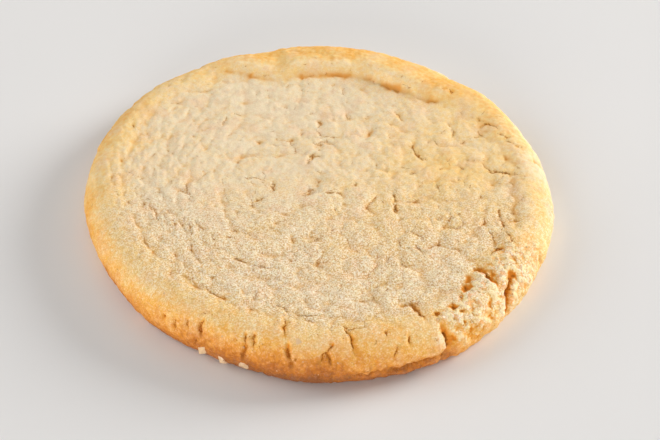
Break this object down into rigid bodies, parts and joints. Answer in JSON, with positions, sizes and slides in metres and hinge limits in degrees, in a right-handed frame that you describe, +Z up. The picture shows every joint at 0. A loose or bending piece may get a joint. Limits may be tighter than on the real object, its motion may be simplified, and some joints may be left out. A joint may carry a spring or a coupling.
{
  "type": "sugar cookie",
  "caption": "Round baked sugar cookie with a rolled golden rim, a finely crazed pale top, split sides and one crumbly broken corner.",
  "frame": {"origin": "middle of the flat base, on the surface that the cookie lies on", "axes": "+Z up through the thickness, -Y towards the front with the split rim, +Y towards the back where the rim stands highest"},
  "size_m": [0.0908, 0.0908, 0.0106],
  "materials": {
    "baked_dough": "matte, pale in the middle and golden brown at the rim"
  },
  "bodies": {
    "root": {"cookie": "baked_dough"}
  },
  "joints": []
}
